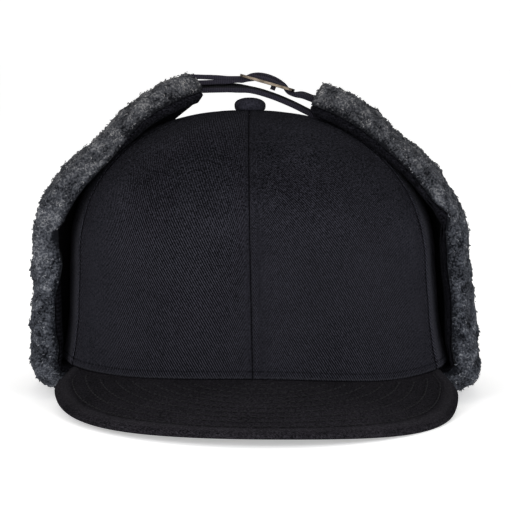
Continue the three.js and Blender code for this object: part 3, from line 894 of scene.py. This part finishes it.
def addButton():
    # a dome turned about its axis, with shallow gathers that fade towards its top; its last row is
    # one point
    around, rows, tall = button["around"], button["rows"], button["heights"][-1]
    knots, fine = np.linspace(0, 1, len(button["radii"])), np.linspace(0, 1, rows + 1)[:-1]
    radius, z = (tableCurve(knots, button[key], fine) for key in ("radii", "heights"))
    turn = (np.arange(around) / around * 2 * math.pi)[:, None]
    gather = button["foldDeep"] / max(button["radii"]) * np.cos(turn * button["folds"] + 0.6)
    wide = radius * (1 + gather * smoothStep(z, 4.6, 1.0))
    grid = np.stack([wide * np.cos(turn), wide * np.sin(turn), np.broadcast_to(z, wide.shape)], -1)
    centre = np.array([-crown["apexRight"], crown["apexBack"], crown["height"] + seamGap])
    points = np.concatenate([grid.reshape(-1, 3), [[0, 0, tall]]]) + centre
    index = np.arange(around * rows).reshape(around, rows)
    closed = np.concatenate([index, index[:1]])
    cap = np.stack([closed[:-1, -1], closed[1:, -1], np.full(around, around * rows)], -1)
    foot = index[::-1, 0][None]
    spread = (1 + 0.4 * (1 - z / tall))[:, None]
    uv = np.concatenate([(grid[..., :2] * spread).reshape(-1, 2), [[0, 0]]])
    piece = newPiece("button_cloth", place(points), *polygons([gridQuads(closed), cap, foot]), {"weave": uv})
    piece.data.materials.append(buttonTwill)
    finishPiece(piece, "cloth", "top_button")


addButton()
print("button made")


# Earflaps

flap = {
    "legReach": 0.12, "legGap": 0.8, "rimGap": 0.5,
    "shell": 3.6, "tipPadding": 1.0, "shellInside": 1.4,
    "lining": 11.5, "liningInside": 5.5,
    "foldDepth": 1.5, "shellFold": 1.9, "liningFold": 6.4,
    "settled": 0.11, "backGap": 1.2,
    "share": (0, 0.14, 0.27, 0.38, 0.52, 0.72, 1),
    "baseAzimuth": (69, 84, 98, 110, 125, 148, 180),
    "topAzimuth": (58, 88, 118, 131, 142, 157, 180),
    "topReach": (0.855, 0.868, 0.83, 0.69, 0.54, 0.43, 0.4),
    "reach": (0, 0.08, 0.2, 0.3, 0.4, 0.5, 0.62, 0.76, 1),
    "lengths": (11.0, 16.0, 125.0),   # of the leg, the fold and the climb
    "shellGrid": 2.0,
    "shellWide": 210.0,               # about the length of the shell from front to back
}
flapSides = {
    "left": {
        "side": 1, "tipReach": 0.0, "frontDrop": 0.42, "frontSwell": -1.6, "frontOut": 3.8,
        "wrap": (1.1, 1.4, 1.7, 1.9), "notch": (0.41, 0.022, 4.0), "tone": (-0.07, 0.0),
        "gap": (0.5, 4, 6, 5.5, 6.5, 4, 1.2, 1.4, 2.6),
        "pile": (1, 0.85, 0.72, 0.72, 0.66, 0.62, 0.58, 0.86, 1.2),
        "sidePile": (1, 0.9, 0.85, 0.88, 0.82, 0.7, 0.5, 0.78, 1.3),
    },
    "right": {
        "side": -1, "tipReach": 0.035, "frontDrop": 0.3, "frontSwell": -1.2, "frontOut": 3.6,
        "wrap": (2.2, 2.34, 2.62, 2.84), "notch": (0.356, 0.022, 5.0), "tone": (0.0, 0.09),
        "gap": (0.5, 5.5, 7.5, 7.5, 8.5, 5, 1.2, 4, 8),
        "pile": (1, 0.95, 0.78, 0.8, 0.74, 0.7, 0.62, 0.76, 1.05),
        "sidePile": (1, 0.88, 0.9, 0.94, 0.82, 0.58, 0.4, 0.66, 1.05),
    },
}


def levelNormal(azimuth):
    # the rim's normal, laid level
    return unit(crownNormal(azimuth, np.full_like(azimuth, 0.001)) * np.array([1.0, 1.0, 0.0]))


def flapSurface(one, share, path, onShell, clear, over):
    # path runs 0 to 1 down the leg inside the crown, 1 to 2 round the fold under the rim and 2 to 3
    # up over the crown; onShell is 0 at the shell's inner face and 1 at its outer one, and over is
    # the share of the pile's thickness above that
    leg, turn, climb = np.clip(path, 0, 1), np.clip(path - 1, 0, 1) * math.pi, np.clip(path - 2, 0, 1)
    along = lambda key: tableCurve(flap["share"], flap[key], share)
    base = np.radians(along("baseAzimuth"))
    seam = (share >= 1) * seamGap / 2 / crown["backLength"]
    rimAz = one["side"] * (base - seam)
    front = 1 - smoothStep(share, 0, 0.3)
    inside = flap["legGap"] + onShell * flap["shellInside"] + clear + over * flap["liningInside"]
    outside = flap["rimGap"] + onShell * flap["shellFold"] + clear + over * flap["lining"]
    outside = outside + (one["frontOut"] + over * one["frontSwell"]) * front
    within = -crown["wall"] - inside
    legPoint = crownPoint(rimAz, mix(flap["legReach"], 0.0, leg), within)
    # the fold is half an ellipse from the inside to the outside of the rim
    out = mix(within, outside, (1 - np.cos(turn)) / 2)
    foldPoint = crownSurface(rimAz, 0.0 * rimAz) + levelNormal(rimAz) * out[..., None]
    depth = flap["foldDepth"] + onShell * flap["shellFold"] + clear + over * flap["liningFold"]
    foldPoint[..., 2] -= depth * (1 + one["frontDrop"] * front) * np.sin(turn)
    # above it the flap climbs over the crown at the table's gap from it
    tip = smoothStep(climb, 0.5, 1) * (1 - smoothStep(share, 0.2, 0.45))
    reach = (along("topReach") + one["tipReach"] * tip) * climb
    azimuth = one["side"] * (mix(base, np.radians(along("topAzimuth")), climb ** 2) - seam)
    away = smoothStep(share, 0, 0.28)
    here = lambda key: tableCurve(flap["reach"], one[key], reach)
    edgeGap = here("gap")
    notch = bell(reach, *one["notch"]) * (1 - smoothStep(share, 0.0, 0.06))
    gap = mix(edgeGap, mix(flap["backGap"], edgeGap, tip), away) + notch * (1 - 0.7 * over)
    thickness = onShell * (flap["shell"] + flap["tipPadding"] * tip) + clear
    thickness = thickness + over * flap["lining"] * mix(here("pile"), here("sidePile"), away)
    out = mix(outside, gap + thickness, smoothStep(climb, 0, flap["settled"]))
    outward = mix(levelNormal(azimuth), crownNormal(azimuth, reach), smoothStep(reach, 0, 0.1)[..., None])
    climbPoint = crownSurface(azimuth, reach) + unit(outward) * out[..., None]
    path = path[..., None]
    return keepAbove(np.where(path < 1, legPoint, np.where(path <= 2, foldPoint, climbPoint)))


def pathSamples(step, legRound, tipRound, stride):
    # the fold and the leg get even steps of their own length; the free edges get rounded ends
    ends = np.cumsum((0, *flap["lengths"]))
    places, thick = padTo(roundedSamples(ends[-1], legRound, tipRound, step), stride)
    return np.interp(places, ends, [0, 1, 2, 3]), thick


def wrapHere(one, path):
    # 1 where the pile is carried round the flap's front edge, 0 below and above, where the cloth's
    # edge shows
    return smoothStep(path, *one["wrap"][:2]) * (1 - smoothStep(path, *one["wrap"][2:]))


def addShell(name, one):
    # the flap's surface at the shell's two faces, which meet in round edges
    wide, grid = flap["shellWide"], flap["shellGrid"]
    share, frontThick = padTo(roundedSamples(wide, 1.8, 0.6, grid), 3)
    path, endThick = pathSamples(grid, 0.8, 1.8, 3)
    s, p = np.meshgrid(share / wide, path, indexing="ij")
    s = mix(0.022 * wrapHere(one, p), 1.0, s)
    thick = frontThick[:, None] * endThick[None]
    outer, inner = (flapSurface(one, s, p, 0.5 + half * thick, 0.0, 0.0) for half in (0.5, -0.5))
    flip = slice(None, None, one["side"])   # the right flap is a mirrored grid, so it is turned round
    weave = np.stack([arcLength(outer, 0) * one["side"], arcLength(outer, 1)], -1)
    piece = sheetPiece("shell_" + name, outer[flip], inner[flip], (3, 3), {"weave": weave[flip]})
    piece.data.materials.append(shellTwill)
    finishPiece(piece, "cloth", "flap_shell_" + name)


fleece = {
    "grid": 1.0,
    "wide": 215.0,      # about the length of the pile from front to back
    "frontRound": 7.5,
    "tipRound": 3.5,
    "backRound": 1.2,
    "clump": 1.5,       # height of the large clumps
    "clumpSize": 9.5,
    "lock": 1.6,        # and of the locks of wool on them
    "lockSize": 4.3,
    "curl": 0.5,        # and of the single curls
    "curlSize": 2.3,
    "clouds": ((5.0, 0.6), (2.2, 0.4)),
    "sunk": 0.8,       # the curls stand on a surface this far inside the pile's outer form
}


def fleeceHeights(points):
    # soft clumps, on them round locks with deep valleys between, and on those single curls; the
    # shade is painted shade, darker in the valleys between locks and curls, with cloudy patches of
    # lighter and darker wool
    clumps = softNoise(points, fleece["clumpSize"], 21)
    locks = lumps(points, fleece["lockSize"], 22)
    curled = lumps(points, fleece["curlSize"], 26)
    clouds = layeredNoise(points, fleece["clouds"], 24)
    height = clumps * fleece["clump"] + (locks - 0.6) * fleece["lock"] + (curled - 0.5) * fleece["curl"]
    return height, np.clip(0.09 + 0.32 * locks + 0.28 * curled + 0.08 * clumps + 0.28 * clouds, 0, 1)


def addFleece(name, one):
    # the flap's surface at the pile's two faces; the outer one is moved along its normals by the
    # wool's heights, which fade out at the edges
    wide, grid = fleece["wide"], fleece["grid"]
    share, frontThick = padTo(roundedSamples(wide, fleece["frontRound"], fleece["backRound"], grid), 6)
    path, endThick = pathSamples(grid, 3.0, fleece["tipRound"], 6)
    s, p = np.meshgrid(share / wide, path, indexing="ij")
    thick = frontThick[:, None] * endThick[None]
    onShell = mix(1.0, 0.12, wrapHere(one, p) * (1 - smoothStep(s * wide, 0.5, 6.0)))
    outer = flapSurface(one, s, p, onShell, seamGap, thick)
    inner = flapSurface(one, s, p, onShell, seamGap, 0.0)
    normals = gridNormals(outer) * one["side"]
    height, shade = fleeceHeights(outer)
    # painted light and shade by height: the right flap's wool is lighter towards its top, the left flap's
    # darker low down
    shade = np.clip(shade + mix(*one["tone"], smoothStep(outer[..., 2], 50, 110)), 0, 1)
    mask = smoothStep(thick, 0.0, 0.35)
    outer = keepAbove(outer + normals * ((height - fleece["sunk"]) * mask)[..., None])
    flip = slice(None, None, one["side"])
    shades = {"shade": (shade * 0.7 * mask)[flip]}
    piece = sheetPiece("fleece_" + name, outer[flip], inner[flip], (6, 6), None, shades)
    piece.data.materials.append(curlyPile)
    finishPiece(piece, "fleece", "flap_lining_" + name)
    return outer, normals, thick, shade


curls = {
    "perPiece": 5600,
    "radius": (0.4, 0.9),      # of the curl's own turn
    "thread": (0.20, 0.34),    # thickness of its lock
    "turn": (2.0, 4.6),        # radians
    "lean": (0.1, 0.9),        # of its plane, from the pile towards the normal
    "start": (-0.6, 0.6),
    "root": (-0.6, 0.1),       # its middle's height over the pile
    "drift": (-1.3, 1.3),      # how far it runs on sideways, as a spring does
}


def addCurls(name, outer, normals, thick, shades, seed):
    # each curl is part of a ring that leans out of the pile: centre plus radius times the cosine
    # along the pile and the sine along a direction between the normal and the pile
    random = np.random.default_rng(seed)
    a = outer[1:, 1:] - outer[:-1, :-1]
    b = outer[1:, :-1] - outer[:-1, 1:]
    area = np.linalg.norm(np.cross(a, b), axis=-1) * (thick[:-1, :-1] > 0.02)
    chance = np.cumsum(area.ravel())
    pick = np.searchsorted(chance, random.random(curls["perPiece"]) * chance[-1])
    i, j = np.unravel_index(pick, area.shape)
    n = len(pick)
    spot, normal = outer[i, j] + random.uniform(-0.5, 0.5, (n, 3)), normals[i, j]
    side = unit(np.cross(normal, random.normal(size=(n, 3))))
    over = np.cross(normal, side)
    drawn = lambda key: random.uniform(*curls[key], (n, 1))
    lean = drawn("lean")
    rise = unit(normal * np.sin(lean) + over * np.cos(lean))
    radius, width, turn = (drawn(key) for key in ("radius", "thread", "turn"))
    t = np.linspace(0, 1, 5)[None]
    angle = drawn("start") - turn * 0.5 + math.pi / 2 + turn * t
    radius = radius * (1.0 - 0.25 * t)
    axis = np.cross(side, rise)
    line = (spot + normal * drawn("root"))[:, None]
    line = line + side[:, None] * (radius * np.cos(angle))[..., None]
    line = line + rise[:, None] * (radius * np.sin(angle))[..., None]
    line = line + axis[:, None] * ((t - 0.5) * drawn("drift"))[..., None]
    forward = unit(np.gradient(line, axis=1))
    first = unit(np.cross(forward, axis[:, None]) + 1e-6)
    taper = np.sin(math.pi * np.clip(t, 0.09, 0.93)) ** 0.55
    ring = ringRound(first, np.cross(forward, first), 3)
    rings = keepAbove(line[:, :, None] + ring * (width * taper)[:, :, None, None], 0.05)
    # painted shade: darker where they sink into the pile and lighter towards their ends, and each a little
    # different
    height = np.einsum("nrsk,nk->nrs", rings - spot[:, None, None], normal)
    shade = shades[i, j][:, None, None] + 0.13 * height + random.normal(0, 0.07, (n, 1, 1))
    tubesPiece("curls_" + name, rings, curlyPile, {"shade": np.clip(shade, 0, 1)})


for name, one in flapSides.items():
    addShell(name, one)
    outer, normals, thick, shades = addFleece(name, one)
    for part in (1, 2):
        addCurls(f"{name}_{part}", outer, normals, thick, shades, 40 * part + one["side"])
    print("earflap made:", name)


# Straps

strap = {
    "width": 14.0,
    "thickness": 2.3,
    "corner": 0.5,
    "squeeze": 0.28,     # share of the thickness that is lost beside the slide
    "twist": 9.0,        # degrees
    "skirt": 2.0,        # how far the running strap's edges hang down over the slide
    "within": 7.0,       # length of a sewn end inside the pile
    "pressed": (2.0, 7.0, 9.0, 21.0),
    "hump": (5.5, 9.5),  # distance from the slide over which the skirt fades
}


def bySlide(along, over):
    # a point beside the slide, along and over its plate
    c, s = math.cos(math.radians(slidePlace["tilt"])), math.sin(math.radians(slidePlace["tilt"]))
    return (slidePlace["x"] + along * c - over * s, slidePlace["z"] + along * s + over * c)


strapPaths = {
    "fixed": [(-26.4, 137.3), (-19.5, 137.6), (-14.8, 137.7), bySlide(-13.8, -3.05), bySlide(-11.9, -2.6),
              bySlide(-10.2, -1.6), bySlide(-8.4, -0.6), bySlide(-6.2, 0.45), bySlide(-4.2, 1.15),
              bySlide(-1.9, 1.5), bySlide(1.9, 1.5), bySlide(3.5, 0.1), bySlide(3.4, -2.6)],
    "running": [(26.6, 130.0), (22.0, 131.6), bySlide(15.0, -1.65), bySlide(12.8, -1.7), bySlide(10.9, -1.0),
                bySlide(8.6, 0.9), bySlide(5.2, 2.3), bySlide(1.6, 3.0), bySlide(-2.0, 3.1), bySlide(-5.2, 2.6),
                bySlide(-8.3, 1.3), bySlide(-10.4, -0.1), bySlide(-12.1, -1.15), bySlide(-13.9, -1.4),
                (-14.8, 139.6), (-19.5, 139.8), (-26, 139.95)],
    "lower": [(-26, 134.5), (-20, 134.7), (-12, 134.8), (-3, 133.9), (6, 131.5), (16, 127.6), (25.2, 123.2)],
}


def centripetal(points, perSpan):
    # Catmull-Rom curve whose spans are timed by the square root of their chords
    p = np.array(points, float)
    p = np.concatenate([[2 * p[0] - p[1]], p, [2 * p[-1] - p[-2]]])
    chords = np.sqrt(np.maximum(np.linalg.norm(np.diff(p, axis=0), axis=-1), 1e-4))
    out = []
    for k in range(len(p) - 3):
        d0, d1, d2 = chords[k:k + 3]
        a, b, c, d = p[k:k + 4]
        m1 = ((b - a) / d0 - (c - a) / (d0 + d1) + (c - b) / d1) * d1
        m2 = ((c - b) / d1 - (d - b) / (d1 + d2) + (d - c) / d2) * d1
        t = (np.arange(perSpan) / perSpan)[:, None]
        h = c - b
        out.append(b + t * (m1 + t * (3 * h - 2 * m1 - m2 + t * (m1 + m2 - 2 * h))))
    return np.concatenate(out + [p[-2:-1]])


def addStrap(name, points):
    # a flat section with rounded edges, carried along the curve and on into the pile of the flaps,
    # straight on from each end that is sewn there
    points = np.array(points, float)
    before = points[:1] + unit(points[:1] - points[1:2]) * strap["within"]
    after = points[-1:] + unit(points[-1:] - points[-2:-1]) * strap["within"]
    points = np.concatenate([before, points] if name == "fixed" else [before, points, after])
    line = centripetal(points, 10)
    tangent = unit(np.gradient(line, axis=0))
    over = np.stack([-tangent[:, 1], 0 * tangent[:, 0], tangent[:, 0]], -1)
    across = np.array([0.0, 1.0, 0.0])
    # one half of the section is two rounded corners and the underside; the other is its opposite
    half, thick, corner = strap["width"] / 2, strap["thickness"] / 2, strap["corner"]
    quarter = np.linspace(0, math.pi / 2, 5)
    sine, cosine = np.sin(quarter) * corner, np.cos(quarter) * corner
    flat = np.linspace(1, -1, 13)[1:-1] * (half - corner)
    wide = np.concatenate([half - corner + sine, half - corner + cosine, flat])
    high = np.concatenate([thick - corner + cosine, -(thick - corner) - sine, 0 * flat - thick])
    section = np.stack([np.concatenate([wide, -wide]), np.concatenate([high, -high])], -1)
    # the lower strap lies tipped towards the front, and so does the running one near its sewn end
    share = {"lower": 1.15 - 0.55 * smoothStep(line[:, :1], -11.0, -3.0),
             "running": -0.7 * smoothStep(line[:, :1], 16.0, 23.0)}.get(name, 0.0)
    turn = math.radians(strap["twist"]) * (share + 0 * line[:, :1])
    # and where two of them go in under the slide's end bar they are pressed thinner
    a, b, c, d = strap["pressed"]
    pressed = smoothStep(-line[:, :1], a, b) * (1 - smoothStep(-line[:, :1], c, d)) * (name != "lower")
    deep = section[:, 1] * (1 - strap["squeeze"] * pressed)
    a = section[:, 0] * np.cos(turn) - deep * np.sin(turn)
    o = section[:, 0] * np.sin(turn) + deep * np.cos(turn)
    centre = np.stack([line[:, 0], np.full(len(line), slidePlace["y"]), line[:, 1]], -1)
    # over the slide the running strap's two edges hang down round the strap beneath it
    away = np.linalg.norm(line - np.array([slidePlace["x"], slidePlace["z"]]), axis=-1)
    hump = (1 - smoothStep(away, *strap["hump"])) * (name == "running")
    skirt = hump[:, None] * smoothStep(np.abs(a), half - 2.2, half)
    down = -np.sign(over[:, 2:])
    a, o = a + np.sign(a) * skirt * 0.9, o + down * skirt * strap["skirt"]
    rings = centre[:, None] + across * a[..., None] + over[:, None] * o[..., None]
    length = np.concatenate([[0], np.cumsum(np.linalg.norm(np.diff(line, axis=0), axis=-1))])
    n, m = rings.shape[:2]
    index = np.arange(n * m).reshape(n, m)
    p, q = index[:-1], index[1:]
    quads = np.stack([p, q, np.roll(q, -1, 1), np.roll(p, -1, 1)], -1).reshape(-1, 4)
    groups = [quads, index[:1, :], index[-1:, ::-1]]
    uv = np.stack([np.tile(section[:, 0], n), np.repeat(length, m)], -1)
    piece = newPiece("strap_webbing_" + name, place(rings.reshape(-1, 3)), *polygons(groups), {"weave": uv})
    piece.data.materials.append(strapWeave)
    finishPiece(piece, "webbing", "strap_" + name)


for name, points in strapPaths.items():
    addStrap(name, points)
print("straps made")


# Slide: the CAD plate, merged and with its edges rounded

def addSlide():
    source = bpy.data.objects["strap_slide"]
    work = bmesh.new()
    work.from_mesh(source.data)
    bmesh.ops.remove_doubles(work, verts=work.verts, dist=1e-6)
    bmesh.ops.dissolve_limit(work, angle_limit=0.02, verts=work.verts, edges=work.edges)
    mesh = bpy.data.meshes.new("slide_metal")
    work.to_mesh(mesh)
    work.free()
    mesh.materials.clear()
    mesh.materials.append(bronze)
    piece = bpy.data.objects.new("slide_metal", mesh)
    bpy.context.scene.collection.objects.link(piece)
    bevel = piece.modifiers.new("rounded", "BEVEL")
    bevel.width, bevel.segments, bevel.limit_method, bevel.angle_limit = 0.00055, 3, "ANGLE", 0.9
    finishPiece(piece, "slide", "strap_slide")


addSlide()
print("slide made")


# Stage and light

light = {
    "floor": (0.9, 0.9, 0.9),
    "floorGlow": 0.42,   # the floor is a lit table, so the shadow under the cap stays faint
    "world": 1.14,       # at the horizon
    "overhead": 0.42,    # and straight above, as a share of that
    "areas": {
        "key": {"at": (-0.7, -1.5, 0.75), "size": 0.9, "power": 9.0, "tint": (1.0, 1.0, 1.0)},
        "fill": {"at": (0.8, -1.4, 0.5), "size": 1.0, "power": 6.5, "tint": (0.92, 0.96, 1.0)},
        "top": {"at": (0.0, 0.3, 1.7), "size": 1.2, "power": 3.0, "tint": (1.0, 0.93, 0.84)},
        "front": {"at": (0.0, -1.6, 0.3), "size": 0.5, "power": 5.0, "tint": (1.0, 1.0, 1.0)},
    },
}


def addStage():
    corners = np.array([[-6, -6, 0], [6, -6, 0], [6, 6, 0], [-6, 6, 0]], float)
    floor = newPiece("floor", corners, *polygons([np.array([[0, 1, 2, 3]])]))
    paper = {"Base Color": (*light["floor"], 1.0), "Roughness": 0.9,
             "Emission Color": (1.0, 1.0, 1.0, 1.0), "Emission Strength": light["floorGlow"]}
    floor.data.materials.append(Finish("floor_paper").surface(paper))
    floor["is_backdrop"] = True
    # the sky is white at the horizon and dimmer overhead: a ramp on the height of its direction
    world = bpy.data.worlds.new("studio")
    world.use_nodes = True
    nodes, links = world.node_tree.nodes, world.node_tree.links
    split, ramp = nodes.new("ShaderNodeSeparateXYZ"), nodes.new("ShaderNodeMapRange")
    links.new(nodes.new("ShaderNodeTexCoord").outputs["Generated"], split.inputs[0])
    links.new(split.outputs[2], ramp.inputs["Value"])
    ramp.inputs["From Min"].default_value, ramp.inputs["From Max"].default_value = 0.05, 0.8
    ramp.inputs["To Min"].default_value = light["world"]
    ramp.inputs["To Max"].default_value = light["world"] * light["overhead"]
    links.new(ramp.outputs[0], nodes["Background"].inputs[1])
    nodes["Background"].inputs[0].default_value = (1.0, 1.0, 1.0, 1.0)
    bpy.context.scene.world = world
    bpy.context.scene.view_settings.view_transform = "Standard"
    for name, one in light["areas"].items():
        data = bpy.data.lights.new(name, "AREA")
        data.shape, data.size, data.energy, data.color = "DISK", one["size"], one["power"], one["tint"]
        lamp = bpy.data.objects.new(name, data)
        spot = Vector(one["at"])
        aim = (Vector((0, 0, 0.07)) - spot).to_track_quat("-Z", "Y")
        lamp.matrix_world = Matrix.Translation(spot) @ aim.to_matrix().to_4x4()
        bpy.context.scene.collection.objects.link(lamp)


addStage()

total = sum(len(o.data.loops) - 2 * len(o.data.polygons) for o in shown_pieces() if o.type == "MESH")
print("triangles in the new pieces:", total)
